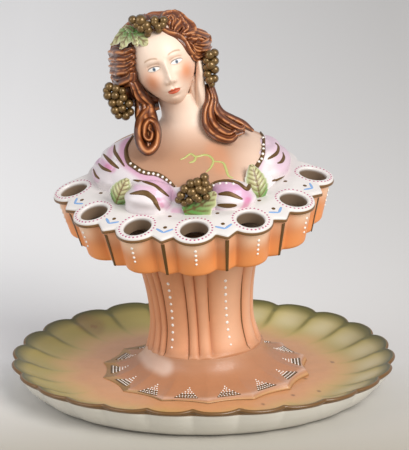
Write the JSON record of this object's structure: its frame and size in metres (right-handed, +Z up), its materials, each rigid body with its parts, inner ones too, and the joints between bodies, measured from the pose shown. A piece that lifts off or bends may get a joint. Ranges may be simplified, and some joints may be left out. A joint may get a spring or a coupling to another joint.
{
  "type": "figural cigarette holder",
  "caption": "Pottery bust of a woman with grapes in the hair, on a half-round deck of cigarette sockets over a fluted column and a scalloped dish.",
  "frame": {"origin": "middle of the bounding box on the table plane, under the dish", "axes": "+Z up, the bust faces -Y, +X to the viewer's right"},
  "size_m": [0.1592, 0.1596, 0.1614],
  "materials": {
    "dish_glaze": "satin glaze, green rim fading to peach",
    "peach_bisque": "matt peach stain over bisque",
    "white_glaze": "satin white glaze",
    "flesh_bisque": "matt flesh stain over bisque",
    "lilac_glaze": "satin lilac and white glaze",
    "auburn_glaze": "satin auburn stain",
    "bronze_lustre": "bronze gold lustre",
    "leaf_glaze": "satin pale green glaze"
  },
  "bodies": {
    "root": {"dish": "dish_glaze", "star_foot": "peach_bisque", "column": "peach_bisque", "socket_drum": "peach_bisque", "socket_deck": "white_glaze", "bust": "flesh_bisque", "head": "flesh_bisque", "sleeve_left": "lilac_glaze", "sleeve_right": "lilac_glaze", "drape_left": "lilac_glaze", "drape_right": "lilac_glaze", "hair": "auburn_glaze", "ringlet_left": "auburn_glaze", "tress_right": "auburn_glaze", "crown_grapes": "bronze_lustre", "ear_grapes_left": "bronze_lustre", "ear_grapes_right": "bronze_lustre", "bodice_grapes": "bronze_lustre", "neckline_band_left": "bronze_lustre", "neckline_band_right": "bronze_lustre", "hair_leaf": "leaf_glaze", "bodice_leaf_left": "leaf_glaze", "bodice_leaf_right": "leaf_glaze", "bodice_leaf_centre": "leaf_glaze", "vine_tendril": "leaf_glaze"}
  },
  "joints": []
}
